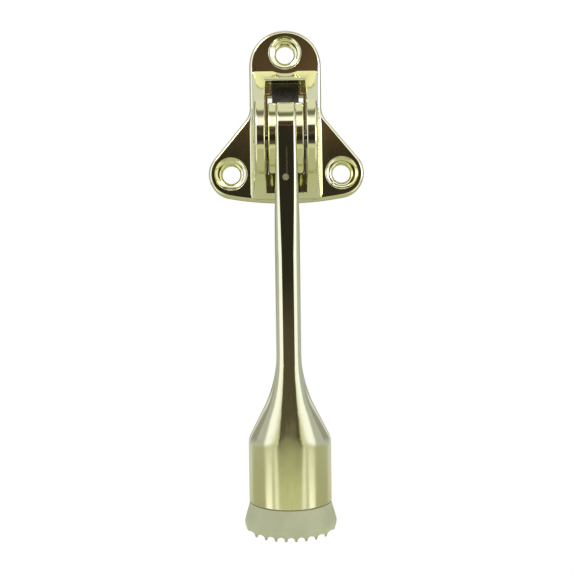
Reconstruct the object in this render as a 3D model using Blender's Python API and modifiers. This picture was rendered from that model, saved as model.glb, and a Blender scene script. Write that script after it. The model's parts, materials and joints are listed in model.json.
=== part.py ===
"""Kick-down door holder.

A cast screw plate carries a clevis. An arm with a rubber foot swings on a pin
between the ears of the clevis, and a leaf spring behind the hub holds it up or
down. X runs along the pivot pin, +Y points into the door, +Z is up. The origin
is on the door face of the plate, between the top screw hole and the window.
Projection from the door face is -Y.
"""

from math import acos, asin, atan2, cos, hypot, pi, radians, sin, sqrt, tan

import bmesh
import bpy
from mathutils import Matrix, Vector

MM = 0.001
GAP = 0.3 * MM

# Screw plate
PLATE_WIDTH = 41.0 * MM
PLATE_TOP_Z = 13.1 * MM
PLATE_BOTTOM_Z = -32.4 * MM
PLATE_THICKNESS = 3.5 * MM
PLATE_EDGE_RADIUS = 1.0 * MM
NECK_RADIUS = 9.45 * MM
NECK_FILLET_RADIUS = 5.5 * MM
LOBE_RADIUS = 6.35 * MM
LOBE_Z = -24.75 * MM
SHOULDER_ANGLE = radians(50.2)

# Countersunk holes for No. 8 wood screws
HOLE_RADIUS = 2.38 * MM
COUNTERSINK_RADIUS = 4.4 * MM
COUNTERSINK_ANGLE = radians(82.0)
TOP_HOLE_Z = 7.0 * MM
LOWER_HOLE_X = 14.6 * MM
LOWER_HOLE_Z = -24.7 * MM
HEAD_RELIEF_RADIUS = 5.8 * MM

# Clevis
PIVOT_Z = -17.8 * MM
PIVOT_PROJECTION = 17.0 * MM
CROWN_RADIUS = 10.9 * MM
CROWN_DROP = 0.35 * MM
CROWN_FRONT = 27.1 * MM
ROOF_FOOT_Z = 2.2 * MM
SILL_Z = -31.7 * MM
SILL_PROJECTION = 8.5 * MM
CLEVIS_BASE_HALF_WIDTH = 8.8 * MM
CLEVIS_CROWN_HALF_WIDTH = 7.6 * MM
EAR_EDGE_RADIUS = 0.85 * MM
SLOT_WIDTH = 10.1 * MM
SLOT_TOP_Z = -1.1 * MM
SLOT_BOTTOM_Z = -30.7 * MM
LIP_PROJECTION = 7.9 * MM
WINDOW_WIDTH = 9.5 * MM
WINDOW_TOP_Z = -4.3 * MM
WINDOW_BOTTOM_Z = -24.9 * MM

# Pivot pin
PIN_RADIUS = 2.2 * MM
PIN_HALF_LENGTH = 7.9 * MM
PIN_CHAMFER = 0.4 * MM

# Leaf spring
LEAF_WIDTH = 7.0 * MM
LEAF_THICKNESS = 0.8 * MM
LEAF_END_LENGTH = 2.6 * MM
BOSS_HEIGHT = 0.6 * MM
BOSS_BOTTOM_Z = -3.9 * MM

# Arm, in its own frame: pivot at the origin, the foot towards -Z, front at -Y
HUB_RADIUS = 8.8 * MM
HUB_WIDTH = 8.8 * MM
HUB_EDGE_RADIUS = 0.5 * MM
# The hub is a little flatter in front: (normal angle at the arc's end, radius), from the front
HUB_UPPER_ARCS = ((radians(11.5), 7.0 * MM), (radians(22.0), 16.5 * MM))
HUB_LOWER_ARCS = ((radians(12.3), 13.0 * MM),)
ARM_FRONT = 10.4 * MM
RIB_HALF_WIDTH = 2.55 * MM
RIB_TOP = 8.8 * MM
RIB_BACK = 8.6 * MM
RIB_CORNER_START = 1.75 * MM
RIB_CORNER_RADIUS = 5.3 * MM
RIB_CORNER_TURN = radians(30.0)
SHANK_BACK = 1.4 * MM
SHANK_HALF_WIDTH = 3.05 * MM
SHANK_FULL_AT = 24 * MM
CORNER_AT_HUB = 1.0 * MM
CORNER_AT_BELL = 2.35 * MM
CORNER_FULL_AT = 30 * MM
FLARE_TOP = 52.5 * MM
FLARE_ANGLE = radians(26.0)
FLARE_TANGENT = 7.5 * MM
SHOULDER_RADIUS = 4.0 * MM
SOCKET_RADIUS = 10.4 * MM
SOCKET_END = 90.9 * MM
SOCKET_BORE_RADIUS = 8.0 * MM
SOCKET_BORE_DEPTH = 11.5 * MM

# Rubber foot
FOOT_NECK_RADIUS = 10.35 * MM
FOOT_RADIUS = 11.65 * MM
FOOT_WIDEST = 96.0 * MM
FOOT_END = 98.5 * MM
TREAD_EDGE_RADIUS = 10.9 * MM
TREAD_PITCH = 2.45 * MM
TREAD_DEPTH = 1.2 * MM
TREAD_ROOT_RADIUS = 0.8 * MM
TREAD_GROOVES = 9

PIVOT = Vector((0.0, -PIVOT_PROJECTION, PIVOT_Z))
CUTTER_OVERRUN = 2 * MM
CORNER_STEPS = 5
# Stands an outline of (height, projection) points up in the side view
ON_SIDE = Matrix(((0, 0, 1, 0), (0, -1, 0, 0), (1, 0, 0, 0), (0, 0, 0, 1)))


def rest_tilt():
    """Angle at which the widest part of the foot just clears the door face."""
    reach = hypot(FOOT_WIDEST, FOOT_RADIUS)
    return asin((PIVOT_PROJECTION - GAP) / reach) - atan2(FOOT_RADIUS, FOOT_WIDEST)


# Scene, collections and materials

def clear_scene():
    for item in list(bpy.data.objects):
        bpy.data.objects.remove(item, do_unlink=True)


def new_collection(name):
    collection = bpy.data.collections.new(name)
    bpy.context.scene.collection.children.link(collection)
    return collection


def new_material(name, colour, metallic, roughness):
    material = bpy.data.materials.new(name)
    material.use_nodes = True
    shader = material.node_tree.nodes["Principled BSDF"]
    shader.inputs["Base Color"].default_value = (*colour, 1.0)
    shader.inputs["Metallic"].default_value = metallic
    shader.inputs["Roughness"].default_value = roughness
    return material


# Modelling helpers

def arc(centre, radius, start, end, segments):
    """Points of an arc in a plane, angles in radians, both ends included."""
    steps = [start + (end - start) * i / segments for i in range(segments + 1)]
    return [(centre[0] + radius * cos(a), centre[1] + radius * sin(a)) for a in steps]


def mesh_object(name, mesh, collection, material=None):
    item = bpy.data.objects.new(name, mesh)
    collection.objects.link(item)
    if material:
        mesh.materials.append(material)
    return item


def bmesh_object(name, bm, collection, material=None):
    bmesh.ops.recalc_face_normals(bm, faces=bm.faces[:])
    mesh = bpy.data.meshes.new(name)
    bm.to_mesh(mesh)
    bm.free()
    return mesh_object(name, mesh, collection, material)


def extruded_outline(name, outline, depth, placement, collection, material=None):
    """Flat closed outline as a filled 2D curve, extruded both ways and made a mesh."""
    curve = bpy.data.curves.new(name, "CURVE")
    curve.dimensions = "2D"
    curve.fill_mode = "BOTH"
    curve.extrude = depth / 2
    spline = curve.splines.new("POLY")
    spline.points.add(len(outline) - 1)
    for point, (u, v) in zip(spline.points, outline):
        point.co = (u, v, 0.0, 1.0)
    spline.use_cyclic_u = True
    source = bpy.data.objects.new(name + "_outline", curve)
    collection.objects.link(source)
    bpy.context.view_layer.update()
    evaluated = source.evaluated_get(bpy.context.evaluated_depsgraph_get())
    mesh = bpy.data.meshes.new_from_object(evaluated)
    bpy.data.objects.remove(source, do_unlink=True)
    bm = bmesh.new()
    bm.from_mesh(mesh)
    bpy.data.meshes.remove(mesh)
    bmesh.ops.remove_doubles(bm, verts=bm.verts[:], dist=1e-6)
    bmesh.ops.transform(bm, matrix=placement, verts=bm.verts[:])
    return bmesh_object(name, bm, collection, material)


def box(name, low, high, collection):
    bm = bmesh.new()
    bmesh.ops.create_cube(bm, size=1.0)
    low, high = Vector(low), Vector(high)
    size = high - low
    place = Matrix.Translation((low + high) / 2) @ Matrix.Diagonal((*size, 1.0))
    bmesh.ops.transform(bm, matrix=place, verts=bm.verts[:])
    return bmesh_object(name, bm, collection)


def rod(name, radius, length, axis, centre, collection, segments=48):
    """Cylinder along a main axis."""
    turn = {"X": ("Y", pi / 2), "Y": ("X", pi / 2), "Z": ("Z", 0.0)}
    about, angle = turn[axis]
    place = Matrix.Translation(centre) @ Matrix.Rotation(angle, 4, about)
    bm = bmesh.new()
    bmesh.ops.create_cone(bm, cap_ends=True, segments=segments, radius1=radius, radius2=radius,
                          depth=length, matrix=place)
    return bmesh_object(name, bm, collection)


def turned(name, profile, turn, centre, collection, material=None, steps=64):
    """Profile of (radius, height) pairs, top to bottom, turned about its own Z."""
    mesh = bpy.data.meshes.new(name)
    edges = [(i, i + 1) for i in range(len(profile) - 1)]
    mesh.from_pydata([(r, 0.0, z) for r, z in profile], edges, [])
    item = mesh_object(name, mesh, collection, material)
    item.matrix_world = Matrix.Translation(centre) @ turn
    screw = item.modifiers.new("Turn", "SCREW")
    screw.axis = "Z"
    screw.steps = steps
    screw.render_steps = steps
    screw.use_merge_vertices = True
    screw.merge_threshold = 1e-6
    screw.use_normal_calculate = True
    return item


def boolean(item, operation, other):
    """Exact Boolean that takes one object or a whole collection."""
    step = item.modifiers.new(operation.title(), "BOOLEAN")
    step.operation = operation
    step.solver = "EXACT"
    if isinstance(other, bpy.types.Collection):
        step.operand_type = "COLLECTION"
        step.collection = other
    else:
        step.object = other


def bevel(item, width, segments, method="ANGLE"):
    step = item.modifiers.new("Round edges", "BEVEL")
    step.width = width
    step.segments = segments
    step.limit_method = method
    step.angle_limit = radians(40)
    step.use_clamp_overlap = True


def hide_cutters(*collections):
    for collection in collections:
        for item in collection.objects:
            item.hide_render = True
            item.display_type = "WIRE"


def shade_smooth(item):
    item.data.shade_smooth()
    item.data.set_sharp_from_angle(angle=radians(35))


# Screw plate and clevis

def plate_outline():
    """Right half by arcs from the top down, then its mirror image."""
    neck_z = PLATE_TOP_Z - NECK_RADIUS
    lobe_x = PLATE_WIDTH / 2 - LOBE_RADIUS
    normal_angle = pi / 2 - SHOULDER_ANGLE
    normal = Vector((cos(normal_angle), sin(normal_angle)))
    line = normal.dot((lobe_x, LOBE_Z)) + LOBE_RADIUS
    fillet_x = NECK_RADIUS + NECK_FILLET_RADIUS
    fillet_z = (line + NECK_FILLET_RADIUS - normal.x * fillet_x) / normal.y
    drop = LOBE_Z - PLATE_BOTTOM_Z
    bottom_radius = (lobe_x ** 2 + drop ** 2 - LOBE_RADIUS ** 2) / (2 * (drop - LOBE_RADIUS))
    bottom_z = PLATE_BOTTOM_Z + bottom_radius
    bottom_angle = atan2(LOBE_Z - bottom_z, lobe_x)
    half = arc((0.0, neck_z), NECK_RADIUS, pi / 2, 0.0, 20)
    half += arc((fillet_x, fillet_z), NECK_FILLET_RADIUS, pi, pi + normal_angle, 6)
    half += arc((lobe_x, LOBE_Z), LOBE_RADIUS, normal_angle, bottom_angle, 18)
    half += arc((0.0, bottom_z), bottom_radius, bottom_angle, -pi / 2, 8)[1:]
    return half + [(-x, z) for x, z in half[-2:0:-1]]


def screw_plate(collection, material):
    """Plate from the door face forwards, its front edge rounded."""
    stand_up = Matrix.Translation((0.0, -PLATE_THICKNESS / 2, 0.0)) @ Matrix.Rotation(pi / 2, 4, "X")
    plate = extruded_outline("mounting_base", plate_outline(), PLATE_THICKNESS, stand_up,
                             collection, material)
    weights = plate.data.attributes.new("bevel_weight_edge", "FLOAT", "EDGE")
    for edge in plate.data.edges:
        ends = [plate.data.vertices[i].co for i in edge.vertices]
        on_front = all(abs(end.y + PLATE_THICKNESS) < 1e-6 for end in ends)
        weights.data[edge.index].value = 1.0 if on_front else 0.0
    bevel(plate, PLATE_EDGE_RADIUS, 3, "WEIGHT")
    return plate


def clevis_profile():
    """Side outline as (height, projection): sill, crown arc and roof."""
    centre = (PIVOT_Z - CROWN_DROP, CROWN_FRONT - CROWN_RADIUS)
    inside = PLATE_THICKNESS / 2

    def tangent_angle(height, projection, side):
        dz, dp = height - centre[0], projection - centre[1]
        return atan2(dp, dz) + side * acos(CROWN_RADIUS / hypot(dz, dp))

    roof_angle = tangent_angle(ROOF_FOOT_Z, PLATE_THICKNESS, 1)
    sill_angle = tangent_angle(SILL_Z, SILL_PROJECTION, -1) + 2 * pi
    outline = [(SILL_Z, inside), (SILL_Z, SILL_PROJECTION)]
    outline += arc(centre, CROWN_RADIUS, sill_angle, roof_angle, 28)
    slope = (ROOF_FOOT_Z - outline[-1][0]) / (outline[-1][1] - PLATE_THICKNESS)
    outline.append((ROOF_FOOT_Z + slope * inside, inside))
    return outline


def clevis_half_width(projection):
    share = (projection - PLATE_THICKNESS) / (CROWN_FRONT - PLATE_THICKNESS)
    return CLEVIS_BASE_HALF_WIDTH + share * (CLEVIS_CROWN_HALF_WIDTH - CLEVIS_BASE_HALF_WIDTH)


def clevis_block(collection):
    """Drafted block that carries the ears, the bridge and the sill."""
    block = extruded_outline("clevis_block", clevis_profile(), 2 * CLEVIS_BASE_HALF_WIDTH, ON_SIDE,
                             collection)
    for vertex in block.data.vertices:
        side = 1 if vertex.co.x > 0 else -1
        vertex.co.x = side * clevis_half_width(-vertex.co.y)
    bevel(block, EAR_EDGE_RADIUS, 3)
    return block


def leaf_boss(side, collection):
    """Low pad beside the leaf's upper end, sunk a little into the walls round it."""
    sunk = 0.2 * MM
    inner = side * (LEAF_WIDTH / 2 + GAP)
    outer = side * (SLOT_WIDTH / 2 + sunk)
    low = (min(inner, outer), -PLATE_THICKNESS - BOSS_HEIGHT, BOSS_BOTTOM_Z)
    high = (max(inner, outer), -PLATE_THICKNESS + sunk, SLOT_TOP_Z + sunk)
    return box("leaf_boss_right" if side > 0 else "leaf_boss_left", low, high, collection)


def lip_outline():
    """Wedge that blunts the thin lip where the roof runs out over the slot."""
    below, above, rise, front = 0.3 * MM, 1.2 * MM, 0.36 * MM, 14 * MM
    return [(SLOT_TOP_Z - below, LIP_PROJECTION), (SLOT_TOP_Z, LIP_PROJECTION),
            (SLOT_TOP_Z + above, LIP_PROJECTION - rise), (SLOT_TOP_Z + above, front),
            (SLOT_TOP_Z - below, front)]


def base_cutters(collection):
    """Slot, window, pin bore, screw holes and the relief for the top screw's head."""
    front = -(CROWN_FRONT + CROWN_RADIUS)
    box("cut_slot", (-SLOT_WIDTH / 2, front, SLOT_BOTTOM_Z),
        (SLOT_WIDTH / 2, -PLATE_THICKNESS, SLOT_TOP_Z), collection)
    box("cut_window", (-WINDOW_WIDTH / 2, -2 * PLATE_THICKNESS, WINDOW_BOTTOM_Z),
        (WINDOW_WIDTH / 2, PLATE_THICKNESS, WINDOW_TOP_Z), collection)
    rod("cut_pin_bore", PIN_RADIUS + GAP, 4 * CLEVIS_BASE_HALF_WIDTH, "X", PIVOT, collection)
    extruded_outline("cut_lip", lip_outline(), SLOT_WIDTH + GAP, ON_SIDE, collection)
    relief_reach = 8 * MM
    rod("cut_head_relief", HEAD_RELIEF_RADIUS, relief_reach, "Y",
        (0.0, -PLATE_THICKNESS - relief_reach / 2, TOP_HOLE_Z), collection, segments=64)
    taper = (COUNTERSINK_RADIUS - HOLE_RADIUS) / tan(COUNTERSINK_ANGLE / 2)
    below = -PLATE_THICKNESS - CUTTER_OVERRUN
    profile = [(0.0, CUTTER_OVERRUN), (COUNTERSINK_RADIUS, CUTTER_OVERRUN), (COUNTERSINK_RADIUS, 0.0),
               (HOLE_RADIUS, -taper), (HOLE_RADIUS, below), (0.0, below)]
    facing_front = Matrix.Rotation(pi / 2, 4, "X")
    for number, (x, z) in enumerate(screw_places(), 1):
        turned(f"cut_screw_hole_{number}", profile, facing_front, (x, -PLATE_THICKNESS, z),
               collection, steps=40)


def screw_places():
    return [(0.0, TOP_HOLE_Z), (-LOWER_HOLE_X, LOWER_HOLE_Z), (LOWER_HOLE_X, LOWER_HOLE_Z)]


def make_base(parts, additions, cutters):
    brass = new_material("plated_base", (0.72, 0.58, 0.30), 1.0, 0.12)
    base = screw_plate(parts, brass)
    boolean(base, "UNION", clevis_block(additions))
    base_cutters(cutters)
    boolean(base, "DIFFERENCE", cutters)
    for side in (-1, 1):
        boolean(base, "UNION", leaf_boss(side, additions))
    shade_smooth(base)


# Pin and leaf spring

def make_pin(parts):
    steel = new_material("pin_steel", (0.55, 0.54, 0.52), 1.0, 0.3)
    end = PIN_RADIUS - PIN_CHAMFER
    profile = [(0.0, PIN_HALF_LENGTH), (end, PIN_HALF_LENGTH),
               (PIN_RADIUS, PIN_HALF_LENGTH - PIN_CHAMFER),
               (PIN_RADIUS, -PIN_HALF_LENGTH + PIN_CHAMFER), (end, -PIN_HALF_LENGTH),
               (0.0, -PIN_HALF_LENGTH)]
    along_x = Matrix.Rotation(pi / 2, 4, "Y")
    pin = turned("pivot_pin", profile, along_x, PIVOT, parts, steel, steps=40)
    shade_smooth(pin)


def leaf_front(height):
    """Projection of the leaf's front face: flat ends on the ledges, a bow behind the hub."""
    seat = PLATE_THICKNESS + GAP + LEAF_THICKNESS
    crest = PIVOT_PROJECTION - HUB_RADIUS - GAP
    if height > PIVOT_Z:
        span = SLOT_TOP_Z - GAP - LEAF_END_LENGTH - PIVOT_Z
    else:
        span = PIVOT_Z - SLOT_BOTTOM_Z - GAP - LEAF_END_LENGTH
    share = min(abs(height - PIVOT_Z) / span, 1.0)
    return seat + (crest - seat) * (1 + cos(pi * share)) / 2


def make_leaf(parts):
    steel = new_material("spring_steel", (0.12, 0.12, 0.115), 1.0, 0.45)
    top, bottom = SLOT_TOP_Z - GAP, SLOT_BOTTOM_Z + GAP
    steps = 28
    heights = [bottom + (top - bottom) * i / steps for i in range(steps + 1)]
    bm = bmesh.new()
    row = [bm.verts.new((-LEAF_WIDTH / 2, -leaf_front(z), z)) for z in heights]
    edges = [bm.edges.new(pair) for pair in zip(row, row[1:])]
    swept = bmesh.ops.extrude_edge_only(bm, edges=edges)["geom"]
    moved = [part for part in swept if isinstance(part, bmesh.types.BMVert)]
    bmesh.ops.translate(bm, vec=(LEAF_WIDTH, 0.0, 0.0), verts=moved)
    leaf = bmesh_object("detent_spring", bm, parts, steel)
    if leaf.data.polygons[0].normal.y > 0:
        leaf.data.flip_normals()
    solid = leaf.modifiers.new("Thickness", "SOLIDIFY")
    solid.thickness = LEAF_THICKNESS
    solid.offset = -1.0
    shade_smooth(leaf)


# Arm

def smooth_step(share):
    share = min(max(share, 0.0), 1.0)
    return share * share * (3 - 2 * share)


def bell_half_width(distance):
    """Half width of the arm: straight shank, hollow fillet, cone, soft shoulder, socket."""
    start = SHANK_HALF_WIDTH
    slope = tan(FLARE_ANGLE)
    shoulder_tangent = SHOULDER_RADIUS * tan(FLARE_ANGLE / 2)
    fillet_radius = FLARE_TANGENT / tan(FLARE_ANGLE / 2)
    cone_start = FLARE_TOP + FLARE_TANGENT
    cone_end = cone_start + (SOCKET_RADIUS - start) / slope
    fillet_end = cone_start + FLARE_TANGENT * cos(FLARE_ANGLE)
    shoulder_start = cone_end - shoulder_tangent * cos(FLARE_ANGLE)
    shoulder_end = cone_end + shoulder_tangent
    if distance <= FLARE_TOP:
        return start
    if distance <= fillet_end:
        run = distance - FLARE_TOP
        return start + fillet_radius - sqrt(fillet_radius ** 2 - run ** 2)
    if distance <= shoulder_start:
        return start + (distance - cone_start) * slope
    if distance <= shoulder_end:
        run = shoulder_end - distance
        return SOCKET_RADIUS - SHOULDER_RADIUS + sqrt(SHOULDER_RADIUS ** 2 - run ** 2)
    return SOCKET_RADIUS


def shank_half_width(distance):
    widening = SHANK_HALF_WIDTH - RIB_HALF_WIDTH
    return RIB_HALF_WIDTH + widening * smooth_step(distance / SHANK_FULL_AT)


def corner_radius(distance):
    return CORNER_AT_HUB + (CORNER_AT_BELL - CORNER_AT_HUB) * smooth_step(distance / CORNER_FULL_AT)


def front_half(half_width, corner, depth):
    """Front half of a rounded section as (x, forward), from the left side to the right."""
    inner_x, inner_f = half_width - corner, depth - corner
    left = arc((-inner_x, inner_f), corner, pi, pi / 2, CORNER_STEPS)
    right = arc((inner_x, inner_f), corner, pi / 2, 0.0, CORNER_STEPS)
    return [(-half_width, 0.0)] + left + right + [(half_width, 0.0)]


def shank_section(half_width, corner, back):
    """Whole rounded section; its back half mirrors the front half."""
    middle = (ARM_FRONT - back) / 2
    half = front_half(half_width, corner, (ARM_FRONT + back) / 2)
    mirrored = [(x, -f) for x, f in reversed(half[1:-1])]
    return [(x, middle + f) for x, f in half + mirrored]


def socket_section(ring):
    """Circle whose points lie in the same directions as the shank section's."""
    reach_x = max(x for x, _ in ring)
    middle = sum(f for _, f in ring) / len(ring)
    reach_f = max(f for _, f in ring) - middle
    angles = [atan2((f - middle) / reach_f, x / reach_x) for x, f in ring]
    return [(SOCKET_RADIUS * cos(a), SOCKET_RADIUS * sin(a)) for a in angles]


def arm_section(distance):
    """Section at a distance below the pivot; the bell blends it into the socket's circle."""
    back = SHANK_BACK
    if distance < RIB_BACK:
        back = max(back, sqrt(RIB_BACK ** 2 - distance ** 2))
    ring = shank_section(shank_half_width(distance), corner_radius(distance), back)
    if distance <= FLARE_TOP:
        return ring
    widened = bell_half_width(distance) - SHANK_HALF_WIDTH
    share = widened / (SOCKET_RADIUS - SHANK_HALF_WIDTH)
    pairs = zip(ring, socket_section(ring))
    return [(a + (c - a) * share, b + (d - b) * share) for (a, b), (c, d) in pairs]


def arm_stations():
    cone_length = (SOCKET_RADIUS - SHANK_HALF_WIDTH) / tan(FLARE_ANGLE)
    flare_end = FLARE_TOP + FLARE_TANGENT + cone_length + SHOULDER_RADIUS / 2
    hub_steps, shank_steps, flare_steps = 7, 8, 24
    stations = [RIB_BACK * sin(pi / 2 * i / hub_steps) for i in range(hub_steps + 1)]
    shank_length, flare_length = FLARE_TOP - RIB_BACK, flare_end - FLARE_TOP
    stations += [RIB_BACK + shank_length * (i + 1) / shank_steps for i in range(shank_steps)]
    stations += [FLARE_TOP + flare_length * (i + 1) / flare_steps for i in range(flare_steps)]
    return stations + [SOCKET_END]


def rib_path():
    """Outline of the rib over the hub as (forward, up, normal angle), from front to back."""
    turn = RIB_CORNER_TURN
    corner_steps, crown_steps, back_steps = 4, 8, 10
    path = []
    for i in range(corner_steps + 1):
        angle = turn * i / corner_steps
        path.append((ARM_FRONT - RIB_CORNER_RADIUS * (1 - cos(angle)),
                     RIB_CORNER_START + RIB_CORNER_RADIUS * sin(angle), angle))
    forward, up, _ = path[-1]
    crown_radius = (RIB_TOP - up) / (1 - sin(turn))
    for i in range(1, crown_steps + 1):
        angle = turn + (pi / 2 - turn) * i / crown_steps
        path.append((forward - crown_radius * (cos(turn) - cos(angle)),
                     up + crown_radius * (sin(angle) - sin(turn)), angle))
    for i in range(back_steps):
        angle = pi / 2 + pi / 2 * i / back_steps
        path.append((RIB_BACK * cos(angle), RIB_TOP * sin(angle), angle))
    return path


def arm_skin(collection, material):
    """Closed skin: the rib swept over the hub, then rings down the shank, bell and socket."""
    bm = bmesh.new()
    rings = []
    for distance in arm_stations():
        rings.append([bm.verts.new((x, -f, -distance)) for x, f in arm_section(distance)])
    for upper, lower in zip(rings, rings[1:]):
        for i in range(len(upper)):
            j = (i + 1) % len(upper)
            bm.faces.new((upper[i], upper[j], lower[j], lower[i]))
    bm.faces.new(rings[-1])
    top = rings[0]
    last = len(top) // 2
    left_pole, right_pole = top[0], top[last]
    front = top[1:last]
    rows = [front]
    for forward, up, angle in rib_path():
        row = []
        for vertex in front:
            depth = ARM_FRONT + vertex.co.y
            place = (vertex.co.x, depth * cos(angle) - forward, up - depth * sin(angle))
            row.append(bm.verts.new(place))
        rows.append(row)
    rows.append(top[:last:-1])
    for first, second in zip(rows, rows[1:]):
        for i in range(len(first) - 1):
            bm.faces.new((first[i], first[i + 1], second[i + 1], second[i]))
        bm.faces.new((left_pole, first[0], second[0]))
        bm.faces.new((first[-1], right_pole, second[-1]))
    return bmesh_object("swing_arm", bm, collection, material)


def hub_front(arcs):
    """Quarter of the hub's outline as (up, forward), from the front to where it is level."""
    up, forward, start = 0.0, HUB_RADIUS, 0.0
    points = []
    for end, radius in arcs:
        points += hub_arc(up, forward, start, end, radius, 4)
        up += radius * (sin(end) - sin(start))
        forward -= radius * (cos(start) - cos(end))
        start = end
    radius = (HUB_RADIUS - up) / (1 - sin(start))
    points += hub_arc(up, forward, start, pi / 2, radius, 14)
    points.append((HUB_RADIUS, forward - radius * cos(start)))
    return points


def hub_arc(up, forward, start, end, radius, steps):
    """Arc that starts at (up, forward), between two normal angles, without its last point."""
    angles = [start + (end - start) * i / steps for i in range(steps)]
    return [(up + radius * (sin(a) - sin(start)), forward - radius * (cos(start) - cos(a)))
            for a in angles]


def hub_outline():
    """Round hub, its front a little flatter, as (up, forward) points round from the front."""
    upper = hub_front(HUB_UPPER_ARCS)
    lower = [(-up, forward) for up, forward in hub_front(HUB_LOWER_ARCS)]
    steps = 36
    back = [pi / 2 + pi * i / steps for i in range(steps + 1)]
    return upper + [(HUB_RADIUS * sin(a), HUB_RADIUS * cos(a)) for a in back] + lower[:0:-1]


def make_arm(parts, additions, cutters, pivot):
    brass = new_material("plated_arm", (0.74, 0.60, 0.32), 1.0, 0.12)
    arm = arm_skin(parts, brass)
    hub = extruded_outline("hub", hub_outline(), HUB_WIDTH, ON_SIDE, additions)
    bevel(hub, HUB_EDGE_RADIUS, 2)
    pin_bore = rod("cut_hub_bore", PIN_RADIUS + GAP, 4 * HUB_WIDTH, "X", (0, 0, 0), cutters)
    bore_top = SOCKET_END - SOCKET_BORE_DEPTH
    bore_end = SOCKET_END + CUTTER_OVERRUN
    socket_bore = rod("cut_socket_bore", SOCKET_BORE_RADIUS, bore_end - bore_top, "Z",
                      (0, 0, -(bore_top + bore_end) / 2), cutters, segments=64)
    for item in (arm, hub, pin_bore, socket_bore):
        item.parent = pivot
    boolean(arm, "UNION", hub)
    boolean(arm, "DIFFERENCE", pin_bore)
    boolean(arm, "DIFFERENCE", socket_bore)
    shade_smooth(arm)


# Rubber foot

def groove_outline():
    """One tread groove across the foot: round root, sides opening to narrow teeth."""
    tooth = TREAD_PITCH / 2 - TREAD_ROOT_RADIUS
    mouth = TREAD_PITCH / 2 - tooth / 4
    root_centre = (0.0, TREAD_DEPTH - TREAD_ROOT_RADIUS)
    root = arc(root_centre, TREAD_ROOT_RADIUS, pi, 0.0, 10)
    side = [(TREAD_ROOT_RADIUS + tooth / 3, tooth / 4), (mouth, 0.0), (mouth, -CUTTER_OVERRUN)]
    return [(-x, z) for x, z in reversed(side)] + root + side


def make_foot(parts, cutters, pivot):
    rubber = new_material("pale_rubber", (0.42, 0.44, 0.33), 0.0, 0.5)
    plug_radius = SOCKET_BORE_RADIUS - GAP
    plug_top = SOCKET_END - SOCKET_BORE_DEPTH + GAP
    neck = SOCKET_END + GAP
    profile = [(0.0, -plug_top), (plug_radius, -plug_top), (plug_radius, -neck),
               (FOOT_NECK_RADIUS, -neck), (FOOT_RADIUS, -FOOT_WIDEST),
               (TREAD_EDGE_RADIUS, -FOOT_END), (0.0, -FOOT_END)]
    foot = turned("rubber_foot", profile, Matrix(), (0, 0, 0), parts, rubber)
    foot.parent = pivot
    for number in range(TREAD_GROOVES):
        x = (number - (TREAD_GROOVES - 1) / 2) * TREAD_PITCH
        across = Matrix(((1, 0, 0, x), (0, 0, 1, 0), (0, 1, 0, -FOOT_END), (0, 0, 0, 1)))
        groove = extruded_outline(f"cut_tread_{number + 1}", groove_outline(), 4 * FOOT_RADIUS, across,
                                  cutters)
        groove.parent = pivot
    boolean(foot, "DIFFERENCE", cutters)
    shade_smooth(foot)


def main():
    clear_scene()
    parts = new_collection("door_holder")
    additions = new_collection("joined_shapes")
    base_cuts = new_collection("base_cutters")
    arm_cuts = new_collection("arm_cutters")
    tread_cuts = new_collection("tread_cutters")
    pivot = bpy.data.objects.new("arm_pivot", None)
    parts.objects.link(pivot)
    pivot.location = PIVOT
    pivot.rotation_euler = (rest_tilt(), 0.0, 0.0)
    make_base(parts, additions, base_cuts)
    make_pin(parts)
    make_leaf(parts)
    make_arm(parts, additions, arm_cuts, pivot)
    make_foot(parts, tread_cuts, pivot)
    hide_cutters(additions, base_cuts, arm_cuts, tread_cuts)


main()
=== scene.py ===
"""Looks of the kick-down door holder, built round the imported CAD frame.

Every visible piece is rebuilt here as a finer mesh that keeps the CAD part's
sizes: plated castings with rounded edges, a swaged pin, a blackened leaf spring
and a translucent rubber foot. X runs along the pivot pin, +Y points into the
door and +Z is up. Projection from the door face is -Y. In the arm's own frame
the pivot is the origin, the foot lies towards -Z and the front towards -Y.
"""

import json
from math import acos, asin, atan2, cos, hypot, pi, radians, sin, sqrt, tan

import bmesh
import bpy
from mathutils import Matrix, Vector


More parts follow.
